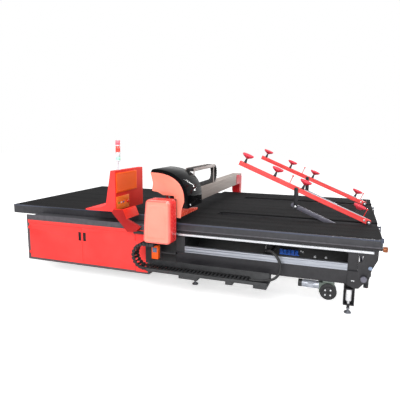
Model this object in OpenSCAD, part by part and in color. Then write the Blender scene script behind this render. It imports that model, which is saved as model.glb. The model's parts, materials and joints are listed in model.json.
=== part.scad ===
// Glass cutting table with a travelling bridge, a loading arm pair and a side console.
// Lengths are in millimetres, +Z is up. Inside the modules X runs along the table from its
// left end, Y from its front face to the rear, Z from the floor.

/* [Table] */
// Length of the table top
bed_len = 5200; // [5100:10:5300]
// Width of the table top
bed_wid = 2960; // [2940:10:3000]
// Height of the felt top above the floor
bed_top = 880; // [875:1:890]
// Height of the fascia round the top
fascia_h = 94; // [90:1:96]
// Thickness of the felt covered boards
board_t = 18; // [16:1:20]
// Length of the narrower left section
left_len = 2600; // [2590:1:2602]
// Setback of the left section's top at the front
left_in = 330; // [300:5:360]
// Setback of the left section's top at the rear
left_in_rear = 210; // [180:5:240]
// Width of the slots the loading arms sink into
slot_wid = 200; // [190:1:210]
// Left end of the slots
slot_x0 = 3160; // [3120:5:3180]
// Square tube of the frame
tube = 80; // [70:1:84]

/* [Rails and base] */
// Height of the bridge rail's section
rail_h = 25; // [24:0.5:26]
// Left end of the bridge rails
rail_x0 = 2560; // [2540:5:2580]
// Right end of the bridge rails
rail_x1 = 5121; // [5100:1:5150]
// Height of the front sill plate
sill_h = 155; // [145:1:160]
// Height of the grooved profile on the sill
profile_h = 76; // [70:1:80]
// Diameter of the levelling foot discs
foot_d = 80; // [70:1:90]
// Radius of the gear unit's round flange
flange_r = 92; // [86:1:96]
// Radius of the drive motor of the gear unit
motor_r = 40; // [36:1:44]

/* [Cabinet] */
// Left side of the cabinet
cab_x0 = 543; // [530:1:550]
// Right side of the cabinet
cab_x1 = 2480; // [2470:1:2490]
// Height of the cabinet's underside
cab_z0 = 168; // [160:1:175]
// Depth of the cabinet
cab_dep = 450; // [430:5:470]
// Sheet thickness of the cabinet
cab_t = 4; // [3:0.5:5]
// Thickness of the doors
door_t = 18; // [16:0.5:20]
// Width of the right door
door_wid = 804; // [796:1:812]
// Length of the handle recesses
handle_len = 118; // [110:1:126]

/* [Bridge] */
// Width of the bridge beam along X
beam_w = 160; // [156:1:164]
// Height of the bridge beam
beam_h = 180; // [176:1:184]
// Wall of the bridge beam
beam_t = 8; // [6:0.5:10]
// Gap between the felt and the underside of the beam
beam_gap = 180; // [176:1:184]
// Thickness of the end plate
plate_t = 12; // [10:0.5:14]
// Wall of the hood
hood_t = 8; // [6:0.5:9]
// Length of the hood along Y
hood_len = 500; // [480:5:520]
// Depth of the drive cover
cover_dep = 190; // [184:1:194]
// Wall of the drive cover
cover_t = 4; // [3:0.5:5]
// Bend radius of the bridge's energy chain
x_bend = 150; // [146:1:152]
// Height of the head chain's bar above the beam
bar_rise = 232; // [228:1:236]

/* [Console] */
// Depth of the console along Y
con_dep = 750; // [730:5:770]
// Height of the console's top above the felt
con_top = 610; // [600:1:620]
// Sheet thickness of the console
con_t = 3; // [2:0.5:4]
// Diameter of the signal tower
tower_d = 60; // [54:1:64]
// Radius of the push buttons
button_r = 11; // [9:0.5:12]
// Travel of the push buttons
button_travel = 3; // [2:0.5:3]

/* [Loading arms] */
// Square tube of the arms
arm_tube = 58; // [56:0.5:60]
// Length of the arms from pivot to tip
arm_len = 1790; // [1600:5:1850]
// Angle of the arms at rest
arm_angle = 22.6; // [21:0.1:23]
// Diameter of the suction cups
cup_d = 155; // [145:1:160]
// Height of the cup lips above the arm's centre line
cup_h = 146; // [144:1:147]
// Distance of the parallel lever below the arm
link_h = 230; // [226:1:232]
// Distance of the link from the pivots
link_s = 965; // [950:5:980]
// Width of the lever and the link plates
lever_w = 55; // [50:1:56]
// Radius of the pivot pins
pin_r = 10; // [8:0.5:12]
// Radius of the lift's guide columns
column_r = 20; // [18:0.5:22]

/* [Hidden] */
eps = 0.01;
run = 0.3;
slip = 0.08;
root = 0.1;
fz = bed_top - fascia_h;
ledge_t = 23;
cab_z1 = fz - ledge_t;
board_z = bed_top - board_t;
rail_z = fz - 48;
end_x = bed_len - 28;
arm_ys = [825, 2320];
bx0 = 2760;
beam_z = bed_top + beam_gap;
beam_top = beam_z + beam_h;
beam_end = bed_wid + 8;
pivot_x = bed_len - 110;
yoke_x = pivot_x + 12;
right_x = bed_len - 5200;
pivot_z = bed_top + 20;
lever_z = pivot_z - link_h;
yoke_z1 = pivot_z - 280;
yoke_z0 = yoke_z1 - 80;
ca = cos(arm_angle);
sa = sin(arm_angle);
cup_s = [for (f = [0.1, 0.5, 0.72, 0.962]) f * arm_len];
low_z1 = 440;
sill_z1 = 512;
sill_z0 = sill_z1 - sill_h;
post_xs = [2850, 3860, right_x + 4870];
handle_z = 518;
door_z0 = cab_z0 + 32;
door_z1 = cab_z1 - 63;
door_x1 = 2280;
door_mid = door_x1 - door_wid - 2;
door_x0 = cab_x0 + 43;
hinge_y = -8;
x_mid = 482;
loop_x = 2530;
gear_x = right_x + 20;
loop_y = 1420;
tray_z = x_mid - x_bend - 22 - run;
bar_z = beam_top + bar_rise;
y_low = beam_top + 1 + 18;
y_up = bar_z + 3 + run + 18;
y_bend = (y_up - y_low) / 2;
y_mid = (y_up + y_low) / 2;
slot_lo = [for (y = arm_ys) y - slot_wid / 2];
slot_hi = [for (y = arm_ys) y + slot_wid / 2];
org_x = (bed_len + 52) / 2;
org_y = (bed_wid + 140 - (60 + cover_dep)) / 2;

// Helpers
module bx(x0, x1, y0, y1, z0, z1) {
    translate([x0, y0, z0]) cube([x1 - x0, y1 - y0, z1 - z0]);
}
module cx(y, z, x0, x1, r) {
    translate([x0, y, z]) rotate([0, 90, 0]) cylinder(r = r, h = x1 - x0, $fn = 48);
}
module cy(x, z, y0, y1, r) {
    translate([x, y1, z]) rotate([90, 0, 0]) cylinder(r = r, h = y1 - y0, $fn = 48);
}
module cz(x, y, z0, z1, r) {
    translate([x, y, z0]) cylinder(r = r, h = z1 - z0, $fn = 48);
}
// A tube or plate of the welded base, cut short by the root gap of its weld
module weld(x0, x1, y0, y1, z0, z1) {
    bx(x0 + root, x1 - root, y0 + root, y1 - root, z0 + root, z1 - root);
}
// Extrudes an outline drawn in X and Z from y0 to y1
module xz(y0, y1) {
    translate([0, y1, 0]) rotate([90, 0, 0]) linear_extrude(y1 - y0) children();
}
// Extrudes an outline drawn in Y and Z from x0 to x1
module yz(x0, x1) {
    translate([x0, 0, 0]) rotate([90, 0, 90]) linear_extrude(x1 - x0) children();
}
module placed() {
    translate([-org_x, -org_y, 0]) children();
}
// Puts children drawn along +X from a pivot onto the raised arm line
module on_line(z) {
    translate([pivot_x, 0, z]) rotate([0, arm_angle, 0]) mirror([1, 0, 0]) children();
}
function arch(a, b, n = 24) =
    [for (i = [0:n]) let (t = 90 * i / n) [2519 + a * pow(sin(t), 0.8), 1148 + b * pow(cos(t), 0.8)]];

// Base
module main_frame() color([0.20, 0.20, 0.21]) placed() {
    deck_frame();
    left_base();
    right_base();
}
// Tubes under the felt boards of both sections
module deck_frame() {
    rear_in = bed_wid - left_in_rear;
    for (y = [left_in + 14, 1480, rear_in - 74])
        weld(12, left_len, y, y + 60, fz, board_z);
    for (x = [12, 1300, left_len - 60]) {
        weld(x, x + 60, left_in + 74, 1480, fz, board_z);
        weld(x, x + 60, 1540, rear_in - 74, fz, board_z);
    }
    for (y = concat([20, bed_wid - 80], [for (a = slot_lo) a - 60], slot_hi))
        weld(left_len, end_x, y, y + 60, fz, board_z);
    for (x = [left_len, slot_x0 - 60, 3860, right_x + 4600]) {
        weld(x, x + 60, 80, slot_lo[0] - 60, fz, board_z);
        weld(x, x + 60, slot_hi[0] + 60, slot_lo[1] - 60, fz, board_z);
        weld(x, x + 60, slot_hi[1] + 60, bed_wid - 80, fz, board_z);
    }
    for (x = [left_len, slot_x0 - 60]) for (i = [0, 1])
        weld(x, x + 60, slot_lo[i], slot_hi[i], fz, board_z);
    for (y = [[20, slot_lo[0]], [slot_hi[0], slot_lo[1]], [slot_hi[1], bed_wid - 20]])
        weld(end_x, end_x + 18, y[0], y[1], fz, board_z);
}
// Posts and beams behind the cabinet
module left_base() {
    for (x = [700, 2300]) {
        for (y = [850, 2470]) weld(x, x + tube, y, y + tube, 60, fz - 86);
        weld(x, x + tube, 850 + tube, 2470, 180, 240);
        weld(x, x + tube, cab_dep + 10, 850, fz - 86, fz - ledge_t);
        weld(x, x + tube, 850 + tube, 2470, fz - 86, fz - ledge_t);
        weld(x, x + tube, 2470 + tube, bed_wid - 20, fz - 86, fz - ledge_t);
    }
    for (y = [850, 2470]) {
        weld(700, 2850, y, y + tube, fz - 86, fz);
        weld(700 + tube, 2300, y, y + tube, 180, 240);
    }
}
// Sills, posts and cross beams under the right section
module right_base() {
    for (y = [20, bed_wid - 100]) {
        weld(rail_x0, right_x + rail_x1 + 40, y, y + 80, fz - 71, fz);
        weld(2850, right_x + 4970, y, y + 80, sill_z0, sill_z1);
        weld(2850, 2967, y, y + 80, sill_z1, fz - 71);
        weld(right_x + 4867, right_x + 4970, y, y + 80, sill_z1, fz - 71);
        weld(2850, 2967, y, y + 80, 300, sill_z0);
    }
    for (x = post_xs) {
        weld(x, x + tube, 100, bed_wid - 100, 360, low_z1);
        for (y = concat([for (a = slot_lo) a - 80], slot_hi))
            weld(x, x + tube, y, y + 80, low_z1, fz);
    }
    for (y = [270, bed_wid - 350]) {
        weld(2960, 3040, y, y + 80, 60, 300);
        weld(2850, 3040, y, y + 80, 300, 360);
    }
    weld(right_x + 4870, right_x + 4950, bed_wid - 130, bed_wid - 50, 60, sill_z0);
    for (y = [520, 2580]) {
        weld(right_x + 4870, yoke_x + 40, y, y + 80, 300, 340);
        weld(right_x + 4870, right_x + 4950, y, y + 80, 340, 360);
        weld(pivot_x - 60, end_x, y, y + 80, fz, board_z);
    }
}
module felt_boards() color([0.22, 0.22, 0.22]) placed() {
    bx(12, left_len - root, left_in + 12, bed_wid - left_in_rear - 12, board_z, bed_top);
    difference() {
        bx(left_len + root, bed_len - 10, 20, bed_wid - 20, board_z, bed_top);
        for (i = [0, 1])
            bx(slot_x0, bed_len + 1, slot_lo[i], slot_hi[i], board_z - 1, bed_top + 1);
    }
}
module top_fascia() color([0.27, 0.27, 0.28]) placed() {
    for (y = [0, bed_wid - 20])
        weld(left_len, bed_len, y, y + 20, fz, bed_top);
    for (y = [[20, slot_lo[0]], [slot_hi[0], slot_lo[1]], [slot_hi[1], bed_wid - 20]])
        weld(bed_len - 10, bed_len, y[0], y[1], fz, bed_top);
    for (y = [left_in, bed_wid - left_in_rear - 12])
        union() {
            weld(12, left_len, y, y + 12, fz, bed_top);
            weld(12, cab_x0, y, y + 12, fz - 36, fz + 20);
        }
    bx(0, 12, left_in, bed_wid - left_in_rear, fz - 36, bed_top);
}
module side_ledges() color([0.42, 0.43, 0.46]) placed() {
    bx(cab_x0, rail_x0 - root, 0, left_in + 12, fz - ledge_t, fz);
    bx(cab_x0, rail_x0 - root, bed_wid - left_in_rear - 12, bed_wid, fz - ledge_t, fz);
    for (y = [0, bed_wid - 12]) bx(cab_x0, rail_x0 - root, y, y + 12, fz - ledge_t, fz + 33);
}
module rail_bar(y0, y1) {
    difference() {
        bx(rail_x0, right_x + rail_x1, y0, y1, rail_z - rail_h / 2, rail_z + rail_h / 2);
        for (x = [rail_x0 + 60:200:right_x + rail_x1 - 20])
            cy(x, rail_z, y0 < 10 ? y0 - 1 : y1 - 3, y0 < 10 ? y0 + 3 : y1 + 1, 5);
    }
}
module bridge_rails() color([0.85, 0.86, 0.87]) placed() {
    rail_bar(-8, 20);
    rail_bar(bed_wid - 20, bed_wid + 8);
}
module grooved_profile() color([0.72, 0.73, 0.74]) placed() {
    difference() {
        bx(2967, right_x + 4867, 14, 60, sill_z1, sill_z1 + profile_h);
        for (z = [sill_z1 + profile_h * 0.25, sill_z1 + profile_h * 0.75]) {
            bx(2966, right_x + 4868, 13, 24, z - 4, z + 4);
            bx(2966, right_x + 4868, 18, 24, z - 9, z + 9);
        }
        for (z = [sill_z1 + profile_h * 0.25, sill_z1 + profile_h * 0.75])
            bx(2966, right_x + 4868, 34, 52, z - 11, z + 11);
    }
}
module end_brace() color([0.30, 0.31, 0.33]) placed() translate([right_x, 0, 0]) {
    jack_leg();
    for (y = [8, bed_wid - 20]) xz(y, y + 12) difference() {
        polygon([[4970, 718], [5126, 718], [5126, fz - 23], [5168, fz - 23], [5166, 660],
                 [5112, 545], [5092, 438], [5072, 395], [5036, 378], [4990, 322], [4940, 318],
                 [4870, sill_z0 - 4], [4870, sill_z1], [4970, sill_z1]]);
        polygon([[4978, 687], [5024, 687], [5010, 622], [4978, 622]]);
        translate([5036, 438]) circle(r = 22 + slip, $fn = 48);
    }
    difference() {
        bx(rail_x1 + 40, 5200, 8, 60, fz - 23, fz);
        cx(40, fz - 12, 5168, 5201, 8 + slip);
    }
}
module bay_panels() color([0.07, 0.07, 0.08]) placed() {
    for (i = [0, 1])
        weld(post_xs[i] + tube, post_xs[i + 1], 640, 644, 362, fz);
    weld(cab_x1, post_xs[0], 96, 100, 290, fz - 71);
    weld(post_xs[0] + tube - 4, post_xs[0] + tube, 100, 645, low_z1, fz);
}
module jack_leg() {
    for (x = [4842, 4949])
        bx(x, x + 10, 22, 100, 124, sill_z0);
    bx(4842, 4959, 22, 132, 112, 124);
    bx(4842, 4959, 92, 100, 124, sill_z0);
    bx(4842, 4959, 22, 100, 290, 302);
    cz(4900, 90, 64, 112, 16);
}
module jack_cylinder() color([0.90, 0.90, 0.91]) placed() translate([right_x, 0, 0]) {
    cz(4900, 54, 162, 290, 32);
    cz(4900, 54, 124, 162, 14);
}
module foot(x, y, z1) {
    cz(x, y, 0, 14, foot_d / 2);
    cz(x, y, 14, 26, foot_d / 3.4);
    cz(x, y, 26, z1, 12);
    translate([x, y, z1 - 16]) cylinder(r = 20, h = 12, $fn = 6);
}
module levelling_feet() color([0.45, 0.46, 0.48]) placed() {
    foot(right_x + 4900, 90, 64);
    foot(right_x + 4910, bed_wid - 90, 60);
    for (y = [310, bed_wid - 310]) foot(3000, y, 60);
    for (x = [740, 2340]) for (y = [890, 2510]) foot(x, y, 60);
}
module chain_tray() color([0.78, 0.79, 0.80]) placed() {
    bx(2570, 4045, -250, -92, tray_z - 5, tray_z);
    bx(2570, 4045, -250, -245, tray_z - 5, tray_z + 34);
    bx(2570, 4045, -97, -92, tray_z - 5, tray_z + 100);
    for (x = [[2990, 3230], [3567, 3650], [3890, 4040]]) {
        bx(x[0], x[1], -240, 60, tray_z - 45, tray_z - 5);
        bx(x[0], x[1], 40, 60, tray_z - 6, sill_z0);
    }
}
module x_chain() color([0.10, 0.10, 0.11]) placed() xz(-240, -102) difference() {
    union() {
        translate([loop_x, x_mid]) circle(r = x_bend + 22, $fn = 72);
        translate([loop_x, x_mid - x_bend - 22]) square([1296, 44]);
        translate([loop_x, x_mid + x_bend - 22]) square([2599.4 - loop_x, 44]);
    }
    translate([loop_x, x_mid]) circle(r = x_bend - 22, $fn = 72);
    translate([loop_x, x_mid - x_bend + 22]) square([1400, 2 * x_bend - 44]);
    translate([2599.4, x_mid + x_bend - 40]) square([80, 80]);
    for (i = [0:26]) translate([loop_x + 68 + i * 46, x_mid - x_bend + 16]) square([6, 8]);
    for (i = [1:9]) translate([loop_x, x_mid]) rotate(90 + i * 18)
        translate([x_bend + 17, -3]) square([8, 6]);
}
module junction_bar() color([0.13, 0.13, 0.14]) placed() {
    bx(2449, 2543, -30, -2, 338, 581);
    bx(cab_x1 - 20, 2543, -2 - eps, 0, 338, 581);
    bx(2530, 2660, -22, -10, 400, 588);
    bx(2650, 2862, -22, -10, 480, 500);
    bx(2850, 2862, -22, 20, 480, 500);
}
module junction_box() color([0.80, 0.27, 0.16]) placed() {
    bx(2559, 2646, -80, -22, 414, 587);
    bx(2574, 2631, -84, -80, 500, 560);
}
module gearbox() color([0.50, 0.55, 0.52]) placed() translate([gear_x, 0, 0]) {
    cy(4662, 239, 30, 118, flange_r - 8);
    bx(4560, 4640, 34, 114, 216, 330);
    bx(4600, 4724, 50, 118, 300, sill_z0);
    bx(4600, 4724, 20, 118, sill_z0 - 14, sill_z0);
}
module gear_caps() color([0.08, 0.08, 0.09]) placed() translate([gear_x, 0, 0]) {
    difference() {
        union() {
            cy(4662, 239, 14, 30, flange_r);
            cy(4662, 239, 0, 14, flange_r * 0.62);
            for (a = [45:90:315])
                cy(4662 + 74 * cos(a), 239 + 74 * sin(a), 8, 14, 7);
        }
        cy(4662, 239, -1, 10, 16);
    }
    cx(74, 290, 4330, 4372, motor_r + 3);
}
module gear_motor() color([0.75, 0.76, 0.78]) placed() translate([gear_x, 0, 0]) {
    cx(74, 290, 4372, 4548, motor_r);
    cx(74, 290, 4548, 4560, motor_r + 8);
    for (a = [0:30:330]) translate([4390, 74, 290]) rotate([a, 0, 0])
        translate([0, -2, motor_r - 1]) cube([140, 4, 5]);
    bx(4440, 4500, 18, 60, 268, 312);
}
module edge_stops() color([0.55, 0.56, 0.58]) placed() {
    for (y = [520, 1880]) {
        bx(bed_len, bed_len + 10, y - 14, y + 14, bed_top - 50, bed_top + 44);
        cx(y, bed_top + 30, bed_len - 22, bed_len, 10);
    }
    bx(bed_len - 20, bed_len + 8, -6, 0, bed_top - 30, bed_top + 22);
}
module edge_knob() color([0.72, 0.45, 0.25]) placed() {
    translate([bed_len + 8, 40, fz - 12]) rotate([0, 90, 0]) difference() {
        union() {
            cylinder(r = 30, h = 44, $fn = 48);
            translate([0, 0, -36]) cylinder(r = 8, h = 38, $fn = 48);
            translate([0, 0, -7.7]) cylinder(r = 12, h = 9, $fn = 32);
        }
        for (a = [0:45:315]) rotate(a) translate([33, 0, 8]) cylinder(r = 7, h = 40, $fn = 20);
    }
}
module lift_guides() color([0.80, 0.81, 0.83]) placed() {
    for (y = [560, 2620]) cz(yoke_x, y, 340, fz, column_r);
    for (y = [680, 2500]) {
        difference() {
            cz(yoke_x, y, 110, 362, 30);
            cz(yoke_x, y, 120, 350, 24);
            cz(yoke_x, y, 349, 363, 10 + slip);
        }
        bx(right_x + 4950, yoke_x - 25, y - 25, y + 25, 340, 356);
        bx(right_x + 4950, right_x + 4957, y - 25, y + 25, 340, 400);
    }
}
module lift_shaft() color([0.60, 0.66, 0.72]) placed() translate([right_x, 0, 0]) {
    cy(5036, 438, -22, 8 - run, 32);
    cy(5036, 438, bed_wid - 8 + run, bed_wid + 22, 32);
    cy(5036, 438, -22, bed_wid + 22, 22);
}

// Cabinet
module cabinet_shell() color([0.62, 0.62, 0.64]) placed() difference() {
    union() {
        difference() {
            bx(cab_x0, cab_x1, 0, cab_dep, cab_z0, cab_z1);
            bx(cab_x0 + cab_t, cab_x1 - cab_t, -1, cab_dep - cab_t, cab_z0 + cab_t, cab_z1 - cab_t);
        }
        difference() {
            bx(cab_x0 + 1, cab_x1 - 1, 0, door_t + 2, cab_z0 + 1, cab_z1 - 1);
            bx(door_x0 - 1, door_x1 + 1, -1, 60, door_z0 - 2, door_z1 + 2);
        }
        bx(cab_x0 + cab_t, cab_x1 - cab_t, 120, cab_dep - 2, 400, 404);
        bx(door_x1 + 2, door_x1 + 22, 20, cab_dep - 2, cab_z0 + 2, cab_z1 - 2);
    }
    for (z = [560:24:680]) bx(cab_x0 - 1, cab_x0 + cab_t + 1, 120, 330, z, z + 8);
}
module cabinet_panels() color([0.93, 0.20, 0.18]) placed() {
    bx(cab_x0 + 22, cab_x1 - 22, -2, 0, door_z1 + 3, cab_z1 - 18);
    bx(door_x1 + 8, cab_x1 - 22, -2, 0, cab_z0 + 22, door_z1 + 3.01);
}
module knuckle(x, z0, z1, r = 3) {
    difference() {
        cz(x, hinge_y, z0, z1, 6);
        cz(x, hinge_y, z0 - 1, z1 + 1, r);
    }
}
module door(x0, x1, hx, leaf0, leaf1, slot) {
    difference() {
        bx(x0, x1, 0, door_t, door_z0, door_z1);
        bx(x0 + 20, x1 - 20, 4, door_t + 1, door_z0 + 20, door_z0 + 300);
        bx(slot - 22, slot + 22, -1, door_t + 1, handle_z, handle_z + handle_len);
    }
    for (z = [260, 620]) {
        knuckle(hx, z, z + 38, 3 + slip);
        bx(leaf0, leaf1, -3, -run, z, z + 38);
        bx(max(leaf0, x0), min(leaf1, x1), -1, eps, z, z + 38);
    }
}
module handle(slot) {
    difference() {
        bx(slot - 21.9, slot + 21.9, -2, door_t - 1, handle_z + 0.1, handle_z + handle_len - 0.1);
        bx(slot - 17, slot + 17, -3, door_t - 5, handle_z + 4, handle_z + handle_len - 4);
    }
}
module door_left() color([0.93, 0.20, 0.18]) placed()
    door(door_x0, door_mid - 2, door_x0 - 6, door_x0 - 6, door_x0 + 30, door_mid - 37);
module door_right() color([0.93, 0.20, 0.18]) placed()
    door(door_mid + 2, door_x1, door_x1 + 6, door_x1 - 30, door_x1 + 6, door_mid + 37);
module handle_left() color([0.06, 0.06, 0.06]) placed() handle(door_mid - 37);
module handle_right() color([0.06, 0.06, 0.06]) placed() handle(door_mid + 37);
module cabinet_fittings() color([0.80, 0.80, 0.81]) placed() {
    for (z = [345, 440, 535]) {
        cx(60, z, cab_x0 - 55, cab_x0, 10);
        cx(60, z, cab_x0 - 28, cab_x0, 15);
    }
    for (z = [260, 620]) {
        for (x = [door_x0 - 6, door_x1 + 6]) {
            cz(x, hinge_y, z - 20, z + 38, 3);
            knuckle(x, z - 20, z - 0.5);
        }
        bx(cab_x0 + 4, door_x0 - 6, -3, 0, z - 20, z - 0.5);
        bx(door_x1 + 6, door_x1 + 30, -3, -2, z - 20, z - 0.5);
    }
}

// Bridge
module bridge_beam() color([0.40, 0.36, 0.34]) placed() difference() {
    bx(bx0, bx0 + beam_w, 8, beam_end, beam_z, beam_top);
    bx(bx0 + beam_t, bx0 + beam_w - beam_t, 7, beam_end + 1, beam_z + beam_t, beam_top - beam_t);
}
module end_plate() color([0.98, 0.62, 0.54]) placed() xz(-plate_t, 0)
    polygon(concat(arch(451, 344), [[2939, 1062], [2925, 945], [2858, 945], [2834, 1213],
        [2688, 1217], [2621, 1250], [2539, 1264], [2553, 1358], [2540, 1419]]));
module bridge_foot() color([0.88, 0.30, 0.27]) placed() {
    yz(bx0 + 94, bx0 + 150) polygon([[0, beam_z], [0, 945], [630, 945], [630, 975], [40, beam_z]]);
    bx(bx0 + 94, bx0 + 150, 0, 8, 945, beam_z);
}
module hood_outline(d) {
    offset(r = 45 - d, $fn = 32) offset(delta = -45)
        polygon(concat(arch(496, 387), [[3015, 960], [2570, 960], [2570, 1358], [2556, 1419],
            [2524, 1470]]));
}
module hood() color([0.05, 0.05, 0.05]) placed() {
    difference() {
        xz(0, hood_len) hood_outline(0);
        xz(8, hood_len + 1) hood_outline(hood_t);
        bx(2400, 2990, -1, hood_len + 1, 900, 1260);
        bx(2400, 3100, -1, hood_len + 1, 900, 1065);
        cy(2990, 1100, hood_len - 60, hood_len - 40, 1);
    }
    bx(2928, 2998, 0, 8, 1065, 1265);
    cx(60, 1110, 3015, 3023, 8);
    cx(hood_len - 50, 1110, 3015, 3023, 8);
}
module saddle() color([0.30, 0.30, 0.32]) placed() {
    difference() {
        bx(2590, 2870, -60, -12, 690, 1180);
        bx(2600, 2860, -52, -20, 700, 1170);
    }
    bx(2590, 2870, -60, -12, rail_z - 24, rail_z + 24);
    rail_blocks();
    drive_motor();
    chain_bracket();
}
// Blocks that run on the front and rear rails
module rail_blocks() {
    for (x = [2606, 2776]) difference() {
        bx(x, x + 86, -12, 12, rail_z - 24, rail_z + 24);
        bx(x - 1, x + 87, -8 - slip, 21, rail_z - rail_h / 2 - slip, rail_z + rail_h / 2 + slip);
    }
    difference() {
        bx(2760, 2890, bed_wid - 12, beam_end, rail_z - 24, rail_z + 24);
        bx(2759, 2891, bed_wid - 21, bed_wid + 8 + slip, rail_z - rail_h / 2 - slip,
           rail_z + rail_h / 2 + slip);
    }
    bx(2760, 2890, bed_wid + 8 + slip, bed_wid + 14, rail_z - 24, rail_z + 24);
}
module cover_outline(d) {
    offset(r = 50 - d, $fn = 32) offset(delta = -50) polygon([[2524, 655], [2886, 655],
        [2886, 1190], [2565, 1190], [2545, 980]]);
}
module drive_cover() color([1.0, 0.62, 0.54]) placed() difference() {
    hull() {
        xz(-60 - cover_dep + 26, -60) cover_outline(0);
        xz(-60 - cover_dep + 8, -60 - cover_dep + 20) cover_outline(9);
        xz(-60 - cover_dep, -60 - cover_dep + 5) cover_outline(26);
    }
    xz(-60 - cover_dep + 30, -59) cover_outline(cover_t);
    for (z = [690:18:790]) bx(2880, 2890, -170, -100, z, z + 6);
}
module drive_motor() {
    cy(2740, 900, -200, -72, 52);
    bx(2680, 2800, -72, -60, 840, 960);
    bx(2700, 2780, -190, -130, 952, 985);
}
module rear_upright() color([0.72, 0.12, 0.12]) placed() {
    bx(2750, 2900, beam_end, bed_wid + 140, 900, 1180);
    xz(bed_wid + 20, bed_wid + 130) polygon([[2670, 700], [2900, 700], [2900, 910], [2760, 910],
        [2740, 820], [2670, 760]]);
    bx(2760, 2890, bed_wid + 14, bed_wid + 30, rail_z - 30, 910);
    bx(2750, 2926, beam_end, beam_end + 12, 1070, beam_top);
    yz(bx0 + beam_w, bx0 + beam_w + 6) polygon([[2640, beam_z + 2], [2640, beam_top],
        [2700, beam_top], [beam_end + 10, beam_top - 40], [beam_end + 10, beam_z + 2]]);
}
module beam_rails() color([0.80, 0.81, 0.83]) placed()
    for (z = [beam_z + 30, beam_z + 130])
        bx(bx0 - 15, bx0, 30, beam_end - 30, z, z + 18);
module chain_bar() color([0.55, 0.55, 0.56]) placed() {
    difference() {
        bx(2784, 2900, hood_len + 2, loop_y - 2, bar_z, bar_z + 46);
        bx(2787, 2897, hood_len + 1, loop_y - 1, bar_z + 3, bar_z + 47);
    }
    for (y = [hood_len + 2, loop_y - 80]) bx(2892, 2900, y, y + 30, beam_top, bar_z + 1);
}
module chain_bracket() {
    bx(2600, 2660, -60, -12, x_mid + x_bend - 20, 691);
    bx(2600, 2660, -240, -40, x_mid + x_bend - 20, x_mid + x_bend + 20);
}
module console_outline(d) {
    offset(delta = -d) polygon([[2010, 955], [1549, 955], [1549, 972], [1780, 1000],
        [1862, 1040], [1942, bed_top + con_top], [2010, bed_top + con_top]]);
}
module console_body() color([0.93, 0.17, 0.16]) placed() difference() {
    xz(0, con_dep) console_outline(0);
    xz(con_t, con_dep - con_t) intersection() {
        console_outline(con_t);
        translate([1800, 900]) square([300, 800]);
    }
    for (z = [1200:20:1300]) bx(1850, 1940, con_dep - 5, con_dep + 1, z, z + 8);
}
module console_panels() color([0.85, 0.33, 0.14]) placed() {
    difference() {
        bx(2010, 2016, 20, 565, 1200, 1460);
        bx(2014, 2017, 44, 541, 1224, 1436);
    }
    difference() {
        bx(2010, 2016, 20, 340, 975, 1150);
        for (y = [70, 130, 190]) cx(y, 1062, 2011, 2017, button_r + run);
        cx(275, 1062, 2011, 2017, 12 + run);
    }
}
module console_arm() color([0.74, 0.13, 0.13]) placed() {
    xz(-58, -18) polygon([[1985, 956], [2010, 1000], [2150, 1000], [2199, 885], [2390, 800],
        [2335, 735], [2206, 722]]);
    xz(-58, 280) polygon([[2120, 1000], [2150, 1000], [2199, 885], [2169, 885]]);
    bx(1990, 2060, -20, 0, 956, 1000);
    bx(2290, 2590, -50, -20, 706, 740);
}
module tower_pole() color([0.93, 0.93, 0.93]) placed() {
    cz(1972, 150, bed_top + con_top, 1600, 13);
    cz(1972, 150, 1600, 1622, tower_d / 2 + 1);
    cz(1972, 150, bed_top + con_top, bed_top + con_top + 8, 28);
    cz(1972, 150, 1622, 1874, 8);
    cz(1972, 150, 1662, 1722, tower_d / 2);
    cz(1972, 150, 1802, 1816, tower_d / 2);
    cz(1972, 150, 1874, 1880, tower_d / 2 - 4);
}
module tower_lenses() color([0.95, 0.35, 0.30]) placed()
    for (z = [[1622, 1662], [1722, 1802], [1816, 1874]]) difference() {
        cz(1972, 150, z[0], z[1], tower_d / 2);
        cz(1972, 150, z[0] - 1, z[1] + 1, 8);
    }
module stop_button() color([0.85, 0.08, 0.08]) placed() {
    cx(275, 1062, 2010 + button_travel + 1.5, 2026, 12);
    cx(275, 1062, 2026, 2040, 20);
}
module push(y) {
    cx(y, 1062, 2010 + button_travel + 1.5, 2021, button_r);
}
module button_a() color([0.15, 0.60, 0.25]) placed() push(70);
module button_b() color([0.90, 0.90, 0.88]) placed() push(130);
module button_c() color([0.15, 0.25, 0.60]) placed() push(190);

// Cutting head
module head_carriage() color([0.35, 0.36, 0.38]) placed() {
    bx(bx0 - 42, bx0 - 24, 200, 420, beam_z - 20, 1400);
    for (z = [beam_z + 30, beam_z + 130]) for (y = [210, 350]) difference() {
        bx(bx0 - 24 - eps, bx0 - 4, y, y + 60, z - 10, z + 28);
        bx(bx0 - 15 - slip, bx0, y - 1, y + 61, z - slip, z + 18 + slip);
    }
    bx(bx0 - 42, bx0 + 120, 280, 316, y_low + 18 + run, y_low + 30);
    bx(bx0 + 36, bx0 + 128, 300, 320 - run, y_low - 12, y_low + 30);
    for (y = [238, 364]) bx(bx0 - 54, bx0 - 42, y, y + 18, 1040, 1380);
}
module head_slide() color([0.75, 0.18, 0.16]) placed() {
    difference() {
        bx(2620, bx0 - 45, 225, 395, 1010, 1360);
        for (y = [238, 364]) bx(bx0 - 54 - slip, bx0, y - slip, y + 18 + slip, 1000, 1400);
        cz(2660, 310, 1000, 1040, 12 + slip);
    }
    cz(2665, 310, 1360, 1400, 30);
}
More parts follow.
